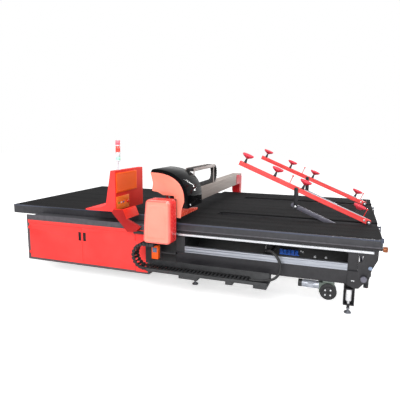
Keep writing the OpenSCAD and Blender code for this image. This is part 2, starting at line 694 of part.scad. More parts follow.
module y_chain() color([0.09, 0.09, 0.10]) placed() yz(2794, 2890) difference() {
    union() {
        translate([loop_y, y_mid]) circle(r = y_bend + 18, $fn = 64);
        translate([320, y_low - 18]) square([loop_y - 320, 36]);
        translate([hood_len + 30, y_up - 18]) square([loop_y - 30 - hood_len, 36]);
    }
    translate([loop_y, y_mid]) circle(r = y_bend - 18, $fn = 64);
    translate([100, y_low + 18]) square([loop_y - 100, 2 * y_bend - 36]);
    for (i = [0:8]) translate([loop_y, y_mid]) rotate(-90 + i * 22.5)
        translate([y_bend + 12, -3]) square([8, 6]);
}
module cutter_holder() color([0.70, 0.71, 0.73]) placed() {
    difference() {
        union() {
            cz(2660, 310, 960, 1036, 12);
            cz(2660, 310, 945, 985, 20);
            cz(2660, 310, 920, 946, 9);
        }
        bx(2656, 2664, 290, 330, 910, 938);
    }
    cx(310, 925, 2653, 2667, 2.5);
}

module cutter_wheel() color([0.50, 0.50, 0.52]) placed() difference() {
    cx(310, 925, 2657, 2663, 10);
    cx(310, 925, 2656, 2664, 2.5 + slip);
}

// Loading arms
module lift_yoke() color([0.34, 0.35, 0.37]) placed() {
    difference() {
        bx(yoke_x - 40, yoke_x + 40, 500, 2700, yoke_z0, yoke_z1);
        for (y = [560, 2620]) cz(yoke_x, y, yoke_z0 - 1, yoke_z1 + 1, column_r + slip);
        bx(yoke_x - 32, yoke_x + 32, 740, 2420, yoke_z0 + 8, yoke_z1 - 8);
    }
    for (y = arm_ys) {
        for (s = [-1, 1]) difference() {
            translate([0, y + s * (arm_tube / 2 + 11) - 5, 0]) union() {
                bx(pivot_x - 28, pivot_x + 28, 0, 10, yoke_z1 - eps, pivot_z);
                cy(pivot_x, pivot_z, 0, 10, 28);
            }
            cy(pivot_x, lever_z, y - 60, y + 60, 15 + slip);
        }
        cy(pivot_x, pivot_z, y - arm_tube / 2 - 20, y + arm_tube / 2 + 20, pin_r);
    }
    for (y = [680, 2500]) {
        cz(yoke_x, y, 322, yoke_z0, 10);
        cz(yoke_x, y, 312, 324, 24 - slip);
    }
}
module tilt_drive() color([0.25, 0.35, 0.55]) placed() {
    difference() {
        bx(pivot_x - 28, yoke_x + 40, 1500, 1600, yoke_z1, lever_z + 50);
        cy(pivot_x, lever_z, 1499, 1601, 15 + slip);
    }
    cx(1550, lever_z + 8, pivot_x - 228, pivot_x - 28, 38);
}
module arm_beams() color([0.98, 0.42, 0.38]) placed() for (y = arm_ys) difference() {
    on_line(pivot_z) union() {
        translate([0, y - arm_tube / 2, -arm_tube / 2]) difference() {
            cube([arm_len, arm_tube, arm_tube]);
            translate([30, 4, 4]) cube([arm_len - 34, arm_tube - 8, arm_tube - 8]);
        }
        translate([0, y + arm_tube / 2, 0]) rotate([90, 0, 0])
            cylinder(r = arm_tube / 2, h = arm_tube, $fn = 48);
        translate([link_s, y + arm_tube / 2, 0]) rotate([90, 0, 0])
            cylinder(r = 16, h = arm_tube, $fn = 40);
    }
    cy(pivot_x, pivot_z, y - 60, y + 60, pin_r + slip);
    on_line(pivot_z) translate([link_s, y + 60, 0]) rotate([90, 0, 0])
        cylinder(r = 8 + run, h = 120, $fn = 40);
}
module cup_stems() color([0.07, 0.07, 0.07]) placed() for (y = arm_ys) on_line(pivot_z)
    for (s = cup_s) translate([s, y, arm_tube / 2])
        cylinder(r1 = 20, r2 = 11, h = cup_h - 52 - arm_tube / 2, $fn = 32);
module suction_cups() color([0.98, 0.45, 0.43]) placed() for (y = arm_ys) on_line(pivot_z)
    for (s = cup_s) translate([s, y, cup_h - 52]) rotate_extrude($fn = 48)
        polygon([[0, 0], [26, 0], [34, 8], [cup_d / 2 - 22, 18], [cup_d / 2 - 2, 34],
            [cup_d / 2, 50], [cup_d / 2 - 3, 52], [cup_d / 2 - 9, 52], [cup_d / 2 - 18, 38], [0, 38]]);
module ball_rods() color([0.90, 0.12, 0.10]) placed() for (y = arm_ys) on_line(pivot_z)
    for (s = [0.048, 0.6] * arm_len) translate([s, y, arm_tube / 2]) {
        cylinder(r = 5, h = 106, $fn = 24);
        translate([0, 0, 104]) sphere(r = 12, $fn = 32);
    }
module vacuum_pipe() color([0.94, 0.94, 0.94]) placed() on_line(pivot_z) {
    translate([60, arm_ys[0] - 25, arm_tube / 2 + 5]) rotate([0, 90, 0])
        cylinder(r = 5, h = 0.45 * arm_len, $fn = 24);
    translate([60, arm_ys[1] - 25, arm_tube / 2 + 5]) rotate([0, 90, 0])
        cylinder(r = 5, h = 0.45 * arm_len, $fn = 24);
}
module levers() color([0.42, 0.48, 0.56]) placed() {
    cy(pivot_x, lever_z, arm_ys[0] - 60, arm_ys[1] + 60, 15);
    for (y = arm_ys) on_line(lever_z) translate([0, y + 10, 0]) rotate([90, 0, 0]) {
        linear_extrude(20) hull() {
            circle(r = lever_w / 2, $fn = 40);
            translate([link_s + 40, 0]) circle(r = lever_w / 2, $fn = 40);
        }
        translate([link_s, 0, -32]) cylinder(r = 8, h = 84, $fn = 40);
    }
}
module links() color([0.22, 0.23, 0.25]) placed() for (y = arm_ys) {
    for (s = [-1, 1]) difference() {
        translate([pivot_x - link_s * ca, y + s * (arm_tube / 2 + 6) + 4, lever_z + link_s * sa])
            rotate([90, 0, 0]) linear_extrude(8) hull() {
                circle(r = lever_w / 2 - 3, $fn = 40);
                translate([0, link_h]) circle(r = lever_w / 2 - 3, $fn = 40);
            }
        cy(pivot_x - link_s * ca, lever_z + link_s * sa, y - 60, y + 60, 8 + slip);
    }
    cy(pivot_x - link_s * ca, lever_z + link_s * sa + link_h, y - 42, y + 42, 8);
}

main_frame();
felt_boards();
top_fascia();
side_ledges();
bridge_rails();
grooved_profile();
end_brace();
bay_panels();
jack_cylinder();
levelling_feet();
chain_tray();
x_chain();
junction_bar();
junction_box();
gearbox();
gear_caps();
gear_motor();
edge_stops();
edge_knob();
lift_guides();
lift_shaft();
cabinet_shell();
cabinet_panels();
cabinet_fittings();
door_left();
handle_left();
door_right();
handle_right();
bridge_beam();
end_plate();
bridge_foot();
hood();
saddle();
drive_cover();
rear_upright();
beam_rails();
chain_bar();
console_body();
console_panels();
console_arm();
tower_pole();
tower_lenses();
stop_button();
button_a();
button_b();
button_c();
head_carriage();
head_slide();
y_chain();
cutter_holder();
cutter_wheel();
lift_yoke();
tilt_drive();
arm_beams();
cup_stems();
suction_cups();
ball_rods();
vacuum_pipe();
levers();
links();
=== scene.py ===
"""Looks of the glass cutting table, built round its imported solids."""

import json
import math

import bmesh
import bpy
from mathutils import Matrix, Vector


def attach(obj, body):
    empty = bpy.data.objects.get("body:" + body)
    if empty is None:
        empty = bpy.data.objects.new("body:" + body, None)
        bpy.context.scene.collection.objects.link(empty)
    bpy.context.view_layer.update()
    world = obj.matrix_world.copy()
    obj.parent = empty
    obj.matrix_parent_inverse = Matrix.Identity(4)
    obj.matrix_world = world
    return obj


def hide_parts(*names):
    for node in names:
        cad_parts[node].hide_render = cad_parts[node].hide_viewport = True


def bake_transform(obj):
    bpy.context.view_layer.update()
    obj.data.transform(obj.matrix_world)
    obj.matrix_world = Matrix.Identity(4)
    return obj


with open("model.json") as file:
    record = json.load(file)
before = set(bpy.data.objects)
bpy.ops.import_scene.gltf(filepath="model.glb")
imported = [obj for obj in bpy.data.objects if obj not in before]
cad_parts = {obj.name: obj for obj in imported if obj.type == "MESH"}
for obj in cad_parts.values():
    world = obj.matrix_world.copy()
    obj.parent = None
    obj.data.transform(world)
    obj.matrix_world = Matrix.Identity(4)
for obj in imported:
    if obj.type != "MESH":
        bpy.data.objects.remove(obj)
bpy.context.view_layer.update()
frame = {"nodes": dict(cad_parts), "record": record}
NODES = frame["nodes"]
RECORD = frame["record"]
BODY_OF = {n: b for b, ns in RECORD["behaviour"]["bodies"].items() for n in ns}
SLOT_OF = {s["node"]: s["material_slot"] for s in RECORD["subparts"]}

# The table's left front floor corner, seen from the middle of the object's box
ORIGIN = Vector((-2.626, -1.425, 0.0))


def at(x, y, z):
    """A place on the table, given in millimetres from its left front floor corner."""
    return ORIGIN + Vector((x, y, z)) / 1000.0


# ---------------------------------------------------------------- camera and light
def set_camera():
    yaw, pitch, roll = math.radians(19.836), math.radians(9.081), math.radians(0.401)
    camera = bpy.data.cameras.new("studio_camera")
    camera.sensor_width, camera.lens, camera.clip_end = 36.0, 36.685, 100.0
    holder = bpy.data.objects.new("studio_camera", camera)
    bpy.context.scene.collection.objects.link(holder)
    turn = Matrix.Rotation(yaw, 4, "Z") @ Matrix.Rotation(math.pi / 2 - pitch, 4, "X")
    turn = turn @ Matrix.Rotation(roll, 4, "Z")
    holder.matrix_world = Matrix.Translation(at(4801, -4521, 1952)) @ turn
    bpy.context.scene.camera = holder


def area_lamp(name, place, aim, size, watts):
    lamp = bpy.data.lights.new(name, "AREA")
    lamp.shape = "RECTANGLE"
    lamp.size, lamp.size_y = size
    lamp.energy = watts
    holder = bpy.data.objects.new(name, lamp)
    bpy.context.scene.collection.objects.link(holder)
    direction = Vector(aim) - Vector(place)
    holder.rotation_euler = direction.to_track_quat("-Z", "Y").to_euler()
    holder.location = place
    holder.visible_camera = False


def set_world():
    world = bpy.data.worlds.new("studio")
    bpy.context.scene.world = world
    world.use_nodes = True
    nt = world.node_tree
    nt.nodes.clear()
    out = nt.nodes.new("ShaderNodeOutputWorld")
    soft = nt.nodes.new("ShaderNodeBackground")
    soft.inputs["Color"].default_value = (1.0, 1.0, 1.0, 1.0)
    soft.inputs["Strength"].default_value = 0.55
    white = nt.nodes.new("ShaderNodeBackground")
    white.inputs["Color"].default_value = (1.0, 1.0, 1.0, 1.0)
    white.inputs["Strength"].default_value = 1.0
    rays = nt.nodes.new("ShaderNodeLightPath")
    mix = nt.nodes.new("ShaderNodeMixShader")
    nt.links.new(rays.outputs["Is Camera Ray"], mix.inputs[0])
    nt.links.new(soft.outputs[0], mix.inputs[1])
    nt.links.new(white.outputs[0], mix.inputs[2])
    nt.links.new(mix.outputs[0], out.inputs["Surface"])


def set_floor():
    bm = bmesh.new()
    bmesh.ops.create_grid(bm, x_segments=2, y_segments=2, size=30.0)
    mesh = bpy.data.meshes.new("studio_floor")
    bm.to_mesh(mesh)
    bm.free()
    floor = bpy.data.objects.new("studio_floor", mesh)
    bpy.context.scene.collection.objects.link(floor)
    mat = bpy.data.materials.new("studio_floor")
    mat.use_nodes = True
    nt = mat.node_tree
    bsdf = nt.nodes["Principled BSDF"]
    bsdf.inputs["Base Color"].default_value = (0.90, 0.90, 0.90, 1)
    bsdf.inputs["Roughness"].default_value = 0.9
    glow = nt.nodes.new("ShaderNodeEmission")
    glow.inputs["Color"].default_value = (1.0, 1.0, 1.0, 1)
    glow.inputs["Strength"].default_value = 0.62
    add = nt.nodes.new("ShaderNodeAddShader")
    rays = nt.nodes.new("ShaderNodeLightPath")
    mix = nt.nodes.new("ShaderNodeMixShader")
    nt.links.new(bsdf.outputs[0], add.inputs[0])
    nt.links.new(glow.outputs[0], add.inputs[1])
    nt.links.new(rays.outputs["Is Camera Ray"], mix.inputs[0])
    nt.links.new(bsdf.outputs[0], mix.inputs[1])
    nt.links.new(add.outputs[0], mix.inputs[2])
    nt.links.new(mix.outputs[0], nt.nodes["Material Output"].inputs["Surface"])
    mesh.materials.append(mat)


set_camera()
set_world()
set_floor()
area_lamp("front_soft", (1.0, -7.5, 4.2), (0.0, -0.5, 0.8), (6.0, 4.0), 420)
area_lamp("top_soft", (0.0, 0.5, 6.5), (0.0, 0.3, 0.5), (7.0, 5.0), 300)
area_lamp("right_soft", (7.5, -1.0, 3.2), (0.5, 0.0, 0.8), (4.0, 3.0), 170)
area_lamp("left_soft", (-7.5, -2.0, 3.0), (-1.0, 0.0, 0.8), (4.0, 3.0), 120)
area_lamp("rear_strip", (3.0, 6.6, 3.3), (0.2, -1.2, 1.2), (0.13, 4.6), 80)
bpy.context.scene.view_settings.view_transform = "Standard"


# ---------------------------------------------------------------- finishes
def screen_colour(r, g, b):
    """Linear colour of a paint that shows as the given 8 bit colour."""
    lin = [(c / 255 / 12.92) if c <= 10 else ((c / 255 + 0.055) / 1.055) ** 2.4 for c in (r, g, b)]
    return (*lin, 1.0)


def finish(name, light, dark, rough=(0.35, 0.5), metal=0.0, grain=40.0, bump=0.05,
           stretch=(1, 1, 1), coat=0.0, wear=None, fine=4.0, specular=0.5, streak=None):
    """A procedural finish: two close tones mixed by a soft pattern, uneven gloss and a fine bump.

    light and dark are 8 bit colours, rough the least and greatest roughness, grain the pattern's
    fineness and stretch its scale on each axis. wear is the colour of rubbed edges, and streak
    gives the broad tones a scale of their own."""
    mat = bpy.data.materials.new(name)
    mat.use_nodes = True
    nt = mat.node_tree
    bsdf = nt.nodes["Principled BSDF"]
    place = nt.nodes.new("ShaderNodeTexCoord")
    mapping = nt.nodes.new("ShaderNodeMapping")
    mapping.inputs["Scale"].default_value = stretch
    nt.links.new(place.outputs["Object"], mapping.inputs["Vector"])
    broad = nt.nodes.new("ShaderNodeTexNoise")
    broad.inputs["Scale"].default_value = grain * 0.12
    broad.inputs["Detail"].default_value = fine
    small = nt.nodes.new("ShaderNodeTexNoise")
    small.inputs["Scale"].default_value = grain
    small.inputs["Detail"].default_value = 3.0
    for tex in (broad, small):
        nt.links.new(mapping.outputs["Vector"], tex.inputs["Vector"])
    if streak:
        lengthwise = nt.nodes.new("ShaderNodeMapping")
        lengthwise.inputs["Scale"].default_value = streak
        nt.links.new(place.outputs["Object"], lengthwise.inputs["Vector"])
        nt.links.new(lengthwise.outputs["Vector"], broad.inputs["Vector"])
        broad.inputs["Scale"].default_value = 5.0
    tones = nt.nodes.new("ShaderNodeValToRGB")
    tones.color_ramp.elements[0].position = 0.35
    tones.color_ramp.elements[1].position = 0.65
    tones.color_ramp.elements[0].color = screen_colour(*dark)
    tones.color_ramp.elements[1].color = screen_colour(*light)
    nt.links.new(broad.outputs["Fac"], tones.inputs["Fac"])
    colour = tones.outputs["Color"]
    if wear:
        geo = nt.nodes.new("ShaderNodeNewGeometry")
        edge = nt.nodes.new("ShaderNodeMapRange")
        edge.inputs["From Min"].default_value = 0.53
        edge.inputs["From Max"].default_value = 0.62
        nt.links.new(geo.outputs["Pointiness"], edge.inputs["Value"])
        blend = nt.nodes.new("ShaderNodeMix")
        blend.data_type = "RGBA"
        nt.links.new(edge.outputs["Result"], blend.inputs["Factor"])
        nt.links.new(colour, blend.inputs["A"])
        blend.inputs["B"].default_value = screen_colour(*wear)
        colour = blend.outputs["Result"]
    nt.links.new(colour, bsdf.inputs["Base Color"])
    gloss = nt.nodes.new("ShaderNodeMapRange")
    gloss.inputs["To Min"].default_value = rough[0]
    gloss.inputs["To Max"].default_value = rough[1]
    nt.links.new(small.outputs["Fac"], gloss.inputs["Value"])
    nt.links.new(gloss.outputs["Result"], bsdf.inputs["Roughness"])
    if bump:
        relief = nt.nodes.new("ShaderNodeBump")
        relief.inputs["Strength"].default_value = bump
        relief.inputs["Distance"].default_value = 0.002
        nt.links.new(small.outputs["Fac"], relief.inputs["Height"])
        nt.links.new(relief.outputs["Normal"], bsdf.inputs["Normal"])
    bsdf.inputs["Metallic"].default_value = metal
    bsdf.inputs["Coat Weight"].default_value = coat
    bsdf.inputs["Coat Roughness"].default_value = 0.08
    bsdf.inputs["Specular IOR Level"].default_value = specular
    return mat


FINISH = {
    "frame_dark": finish("dark_frame_paint", (34, 33, 37), (27, 26, 30),
                         rough=(0.45, 0.6), grain=180, bump=0.12),
    "felt": finish("grey_felt", (37, 37, 38), (28, 28, 29),
                   rough=(0.9, 1.0), grain=900, bump=0.9, fine=8, specular=0.08,
                   streak=(0.08, 2.2, 1)),
    "fascia": finish("fascia_paint", (49, 49, 54), (41, 41, 46),
                     rough=(0.42, 0.54), grain=160, bump=0.08),
    "ledge": finish("ledge_paint", (84, 86, 92), (70, 72, 78),
                    rough=(0.4, 0.52), grain=160, bump=0.06),
    "rail": finish("ground_rail_steel", (222, 224, 228), (198, 200, 206),
                   rough=(0.22, 0.34), metal=0.75, grain=260, bump=0.04, stretch=(0.15, 6, 6)),
    "alu": finish("drawn_aluminium", (180, 184, 192), (156, 160, 170),
                  rough=(0.28, 0.42), metal=0.7, grain=260, bump=0.05, stretch=(0.1, 8, 8)),
    "white": finish("white_paint", (226, 226, 228), (214, 214, 217),
                    rough=(0.3, 0.4), grain=120, bump=0.03),
    "black_plastic": finish("black_plastic", (30, 30, 32), (20, 20, 22),
                            rough=(0.42, 0.6), grain=260, bump=0.12),
    "gloss_black": finish("gloss_black_shell", (9, 9, 11), (5, 5, 7),
                          rough=(0.05, 0.09), grain=30, bump=0.004, specular=0.1),
    # Pale salmon for faces that look to the front: painted light on the red paint.
    "salmon": finish("pale_lit_front_paint", (244, 136, 114), (238, 127, 106),
                     rough=(0.18, 0.28), grain=26, bump=0.01, coat=0.5),
    "red": finish("red_enamel", (252, 62, 58), (246, 54, 51),
                  rough=(0.42, 0.52), grain=26, bump=0.012, specular=0.3),
    "dark_red": finish("dark_red_enamel", (166, 20, 18), (152, 15, 14),
                       rough=(0.42, 0.52), grain=40, bump=0.02, specular=0.25),
    "orange": finish("orange_screen_glass", (255, 100, 26), (250, 90, 20),
                     rough=(0.3, 0.4), grain=14, bump=0.0, specular=0.25),
    "arm_red": finish("arm_enamel", (250, 84, 82), (244, 72, 72),
                      rough=(0.4, 0.5), grain=60, bump=0.02, specular=0.3),
    "cup_red": finish("cup_rubber", (226, 64, 82), (210, 50, 68),
                      rough=(0.55, 0.68), grain=220, bump=0.12),
    "steel": finish("bare_steel", (150, 152, 158), (120, 122, 130),
                    rough=(0.3, 0.45), metal=0.8, grain=160, bump=0.06, wear=(190, 192, 198)),
    "blue_steel": finish("grey_lever_enamel", (110, 108, 120), (92, 91, 103),
                         rough=(0.3, 0.42), metal=0.2, grain=140, bump=0.04),
    "green_grey": finish("cast_grey_green", (112, 122, 114), (88, 98, 92),
                         rough=(0.5, 0.65), metal=0.1, grain=120, bump=0.35),
    "cab_grey": finish("cabinet_frame_paint", (84, 76, 78), (70, 63, 66),
                       rough=(0.38, 0.52), grain=160, bump=0.08),
    "beam": finish("anodised_beam", (164, 153, 146), (146, 135, 129),
                   rough=(0.36, 0.5), metal=0.2, grain=200, bump=0.05, stretch=(6, 0.12, 6)),
    "blue": finish("blue_motor_paint", (60, 84, 130), (46, 68, 112),
                   rough=(0.4, 0.55), grain=140, bump=0.15),
    "brass": finish("copper_knob", (158, 96, 62), (130, 76, 50),
                    rough=(0.3, 0.44), metal=0.6, grain=120, bump=0.05),
    "bright_red": finish("bright_red_plastic", (226, 30, 26), (212, 22, 20),
                         rough=(0.18, 0.3), grain=60, bump=0.02, coat=0.4),
    "lens": finish("signal_lens", (250, 74, 58), (244, 60, 46),
                   rough=(0.12, 0.2), grain=60, bump=0.02, coat=0.5),
    "green": finish("green_plastic", (40, 160, 70), (30, 140, 56),
                    rough=(0.2, 0.32), grain=60, bump=0.02),
    "white_plastic": finish("white_plastic", (214, 216, 220), (200, 203, 208),
                            rough=(0.3, 0.42), grain=80, bump=0.02),
    "blue_plastic": finish("blue_plastic", (40, 70, 160), (32, 58, 140),
                           rough=(0.2, 0.32), grain=60, bump=0.02),
}
PINK_LENS = finish("pink_lens", (255, 104, 120), (250, 90, 106),
                   rough=(0.12, 0.2), grain=60, bump=0.02, coat=0.5)
GREEN_LENS = finish("pale_green_lens", (180, 250, 215), (165, 242, 202),
                    rough=(0.12, 0.2), grain=60, bump=0.02, coat=0.5)
RUBBER = finish("hose_rubber", (26, 26, 28), (17, 17, 19), rough=(0.45, 0.6), grain=300, bump=0.15)
BLUE_HOSE = finish("blue_hose", (40, 110, 220), (30, 92, 200),
                   rough=(0.25, 0.35), grain=120, bump=0.03)
TRAY_DARK = finish("dark_tray_zinc", (48, 49, 51), (38, 39, 41),
                   rough=(0.45, 0.6), metal=0.0, grain=140, bump=0.08)
BRIGHT_STEEL = finish("bright_bolt_steel", (232, 233, 236), (210, 212, 216),
                      rough=(0.2, 0.32), metal=0.6, grain=120, bump=0.04)
FOOT_RED = finish("warm_foot_enamel", (255, 96, 70), (248, 80, 58),
                  rough=(0.22, 0.32), grain=30, bump=0.012, coat=0.4)
END_RED = finish("deep_end_enamel", (222, 36, 44), (206, 26, 34),
                 rough=(0.25, 0.36), grain=30, bump=0.012, coat=0.3)
CHEEK_RED = finish("end_cheek_enamel", (228, 70, 84), (214, 56, 70),
                   rough=(0.28, 0.4), grain=30, bump=0.012, coat=0.2)
# Cover rim and front colours: painted shading and painted light on one red paint.
COVER_RIM_SHADING = finish("cover_rim_painted_shading", (244, 112, 98), (236, 98, 86),
                   rough=(0.12, 0.2), grain=26, bump=0.008, coat=0.6)
COVER_LIT_FRONT = finish("cover_front_painted_light", (250, 142, 122), (244, 132, 112),
                     rough=(0.16, 0.24), grain=26, bump=0.01, coat=0.5)
# A lighter copy of the orange glass for the console's lower panel: painted light against the shade
# there.
LOW_PANEL_LIT = finish("lower_panel_glass_painted_light", (255, 132, 52), (252, 122, 44),
                   rough=(0.3, 0.4), grain=14, bump=0.0, specular=0.25)
# A brighter red for the console arm's right faces: painted light.
ARM_LIT_SIDE = finish("console_arm_painted_lit_side", (244, 50, 30), (236, 42, 24),
                  rough=(0.42, 0.52), grain=30, bump=0.012, specular=0.25)
BOX_WINDOW = finish("bluish_box_window", (96, 112, 140), (78, 94, 124),
                    rough=(0.15, 0.25), grain=60, bump=0.01, coat=0.3)
PIPE_BLUE = finish("pale_blue_cap", (150, 166, 190), (132, 148, 174),
                   rough=(0.3, 0.42), metal=0.2, grain=120, bump=0.03)
BAR_GREY = finish("warm_grey_bar", (172, 162, 158), (156, 146, 142),
                  rough=(0.3, 0.42), metal=0.2, grain=160, bump=0.04, stretch=(6, 0.2, 6))
JACK_DARK = finish("dark_jack_paint", (40, 42, 46), (30, 32, 36),
                   rough=(0.4, 0.55), grain=140, bump=0.08)
# Deeper red for the sides of the pale-fronted parts: painted shade against their lit fronts.
RED_SHADED_SIDE = finish("red_shaded_side_paint", (232, 60, 58), (216, 46, 46),
                  rough=(0.22, 0.32), grain=30, bump=0.012, coat=0.4)
SIDE_RED = finish("shaded_red_side", (226, 48, 34), (214, 40, 28),
                  rough=(0.45, 0.55), grain=30, bump=0.012, specular=0.25)
TRIM_BLUE = finish("bluish_trim_strip", (68, 73, 90), (57, 62, 77),
                   rough=(0.42, 0.54), metal=0.1, grain=160, bump=0.04, stretch=(0.2, 6, 6))
# A paler copy of the ledge's dark paint: painted highlight where its edge catches the light.
LEDGE_EDGE_HIGHLIGHT = finish("ledge_edge_painted_highlight", (76, 74, 80), (64, 62, 68),
                   rough=(0.42, 0.54), grain=160, bump=0.05)

for name, solid in NODES.items():
    solid.data.materials.clear()
    solid.data.materials.append(FINISH[SLOT_OF[name]])


# ---------------------------------------------------------------- piece making
def sharpen(bm, degrees):
    """Marks the edges whose faces meet at more than an angle as sharp."""
    limit = math.radians(degrees)
    for edge in bm.edges:
        edge.smooth = not (len(edge.link_faces) == 2 and edge.calc_face_angle(0.0) > limit)


def piece(name, bm, mats, body):
    """Turns a bmesh into a named piece that rides on a body, if one is given."""
    bmesh.ops.remove_doubles(bm, verts=bm.verts, dist=1e-6)
    bmesh.ops.recalc_face_normals(bm, faces=bm.faces)
    for face in bm.faces:
        face.smooth = True
    sharpen(bm, 35)
    mesh = bpy.data.meshes.new(name)
    bm.to_mesh(mesh)
    bm.free()
    for mat in mats if isinstance(mats, (list, tuple)) else [mats]:
        mesh.materials.append(mat)
    made = bpy.data.objects.new(name, mesh)
    bpy.context.scene.collection.objects.link(made)
    if body:
        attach(made, body)
    return made


def rounded(node, width=0.0015, segments=2, angle=40.0, mats=None, pick=None):
    """A copy of a solid whose sharp edges are broken, which stands for it. With several finishes,
    pick gives each flat face the number of its own from its middle and its normal."""
    bm = bmesh.new()
    bm.from_mesh(NODES[node].data)
    bmesh.ops.remove_doubles(bm, verts=bm.verts, dist=2e-5)
    bmesh.ops.dissolve_limit(bm, angle_limit=math.radians(0.6), verts=bm.verts, edges=bm.edges)
    bmesh.ops.recalc_face_normals(bm, faces=bm.faces)
    for face in bm.faces:
        face.smooth = True
        if pick:
            face.material_index = pick((face.calc_center_median() - ORIGIN) * 1000.0, face.normal)
    mesh = bpy.data.meshes.new(node + "_finished")
    bm.to_mesh(mesh)
    bm.free()
    for mat in mats or [FINISH[SLOT_OF[node]]]:
        mesh.materials.append(mat)
    made = bpy.data.objects.new(node + "_finished", mesh)
    bpy.context.scene.collection.objects.link(made)
    if width:
        bevel = made.modifiers.new("edges", "BEVEL")
        bevel.width = width
        bevel.segments = segments
        bevel.limit_method = "ANGLE"
        bevel.angle_limit = math.radians(angle)
        bevel.harden_normals = True
        bevel.use_clamp_overlap = True
    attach(made, BODY_OF[node])
    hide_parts(node)
    return made


def break_edges(bm, edges, width, segments=2):
    """Bevels edges, taken in the mesh's own order."""
    bm.edges.index_update()
    bmesh.ops.bevel(bm, geom=sorted(edges, key=lambda e: e.index), offset=width,
                    offset_type="OFFSET", segments=segments, profile=0.5, affect="EDGES",
                    clamp_overlap=True, material=-1)


def add_box(bm, low, high, bevel=0.0):
    """Adds a box between two places on the table, with broken edges."""
    low, high = at(*low), at(*high)
    made = bmesh.ops.create_cube(bm, size=1.0)["verts"]
    size = high - low
    bmesh.ops.scale(bm, vec=size, verts=made)
    bmesh.ops.translate(bm, vec=(low + high) / 2, verts=made)
    if bevel:
        break_edges(bm, {e for v in made for e in v.link_edges}, bevel)


def add_rod(bm, place, axis, radius, length, sides=24, taper=None, bevel=0.0):
    """Adds a rod that starts at a place on the table and runs along an axis."""
    made = bmesh.ops.create_cone(bm, cap_ends=True, segments=sides, radius1=radius / 1000,
                                 radius2=(radius if taper is None else taper) / 1000,
                                 depth=length / 1000)["verts"]
    bmesh.ops.translate(bm, vec=(0, 0, length / 2000), verts=made)
    turn = Vector((0, 0, 1)).rotation_difference(Vector(axis)).to_matrix()
    bmesh.ops.rotate(bm, cent=(0, 0, 0), matrix=turn, verts=made)
    bmesh.ops.translate(bm, vec=at(*place), verts=made)
    if bevel:
        rims = {e for v in made for e in v.link_edges if len(e.link_faces) == 2
                and e.calc_face_angle(0.0) > 0.7}
        break_edges(bm, rims, bevel / 1000)


def tube(name, points, radius, mat, body):
    """A round hose along a smooth curve through places on the table."""
    curve = bpy.data.curves.new(name, "CURVE")
    curve.dimensions = "3D"
    curve.bevel_depth = radius / 1000
    curve.bevel_resolution = 4
    curve.resolution_u = 8
    curve.use_fill_caps = True
    spline = curve.splines.new("BEZIER")
    spline.bezier_points.add(len(points) - 1)
    for knot, place in zip(spline.bezier_points, points):
        knot.co = at(*place)
        knot.handle_left_type = knot.handle_right_type = "AUTO"
    curve.materials.append(mat)
    made = bpy.data.objects.new(name, curve)
    bpy.context.scene.collection.objects.link(made)
    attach(made, body)
    return made


# ---------------------------------------------------------------- solids with broken edges
EDGES = {
    "main_frame": 0.004, "top_fascia": 0.003, "bridge_rails": 0.002, "felt_boards": 0.002,
    "grooved_profile": 0.0015, "end_brace": 0.002, "jack_cylinder": 0.002,
    "levelling_feet": 0.0015, "junction_bar": 0.002,
    "gearbox": 0.004, "gear_caps": 0.003, "gear_motor": 0.0015,
    "edge_knob": 0.002, "lift_shaft": 0.002,
    "cabinet_panels": 0.0008, "door_left": 0.002,
    "door_right": 0.002, "handle_left": 0.0015, "handle_right": 0.0015, "bay_panels": 0.0008,
    "bridge_beam": 0.006, "saddle": 0.003,
    "beam_rails": 0.002,
    "tower_pole": 0.002, "stop_button": 0.003, "button_a": 0.0015,
    "button_b": 0.0015, "button_c": 0.0015, "head_carriage": 0.002, "head_slide": 0.006,
    "cutter_holder": 0.0015, "cutter_wheel": 0.0006, "lift_yoke": 0.003,
    "tilt_drive": 0.004, "arm_beams": 0.004, "ball_rods": 0.0006, "levers": 0.002, "links": 0.0015,
}
for node, width in EDGES.items():
    rounded(node, width, 3 if width >= 0.004 else 2)


def is_front(centre, normal):
    return 0 if normal.y < -0.5 else 1


rounded("junction_box", 0.006, 3, mats=[FINISH["orange"], BOX_WINDOW],
        pick=lambda c, n: 1 if c.y < -82 else 0)
# The ledge's front faces and its faces above 790 mm take the paler copy as a painted highlight; the
# rest keeps the fascia paint.
rounded("side_ledges", 0.003, mats=[LEDGE_EDGE_HIGHLIGHT, FINISH["fascia"]],
        pick=lambda c, n: 0 if n.y < -0.5 or c.z > 790 else 1)
rounded("cabinet_fittings", 0.0008, mats=[FINISH["rail"], FINISH["cab_grey"], FINISH["red"]],
        pick=lambda c, n: 2 if c.x > 1000 else 1 if c.x > 545 else 0)
rounded("hood", 0.005, 3, mats=[FINISH["gloss_black"]])
rounded("bridge_foot", 0.004, mats=[FOOT_RED, END_RED],
        pick=lambda c, n: 1 if c.y > 420 else 0)
rounded("rear_upright", 0.003, mats=[END_RED, CHEEK_RED],
        pick=lambda c, n: 1 if c.x > 2915 else 0)
rounded("lift_guides", 0.002, mats=[FINISH["rail"], JACK_DARK],
        pick=lambda c, n: 1 if c.z < 368 else 0)
rounded("edge_stops", 0.0015, mats=[TRIM_BLUE])
# Panels below 1120 mm take the lighter copy of the orange: painted light.
rounded("console_panels", 0.0012, mats=[FINISH["orange"], LOW_PANEL_LIT],
        pick=lambda c, n: 1 if c.z < 1120 else 0)
rounded("chain_bar", 0.001, mats=[BAR_GREY])
rounded("cup_stems", 0.001)
rounded("suction_cups", 0.002, 2, 25)
rounded("vacuum_pipe", 0.0008)
rounded("cabinet_shell", 0.002)
rounded("chain_tray", 0.001, mats=[TRAY_DARK])
# Front faces take the pale salmon and the other faces the deeper red: lit and shaded copies of one
# paint, painted light and shade.
rounded("end_plate", 0.004, 3, mats=[FINISH["salmon"], RED_SHADED_SIDE], pick=is_front)


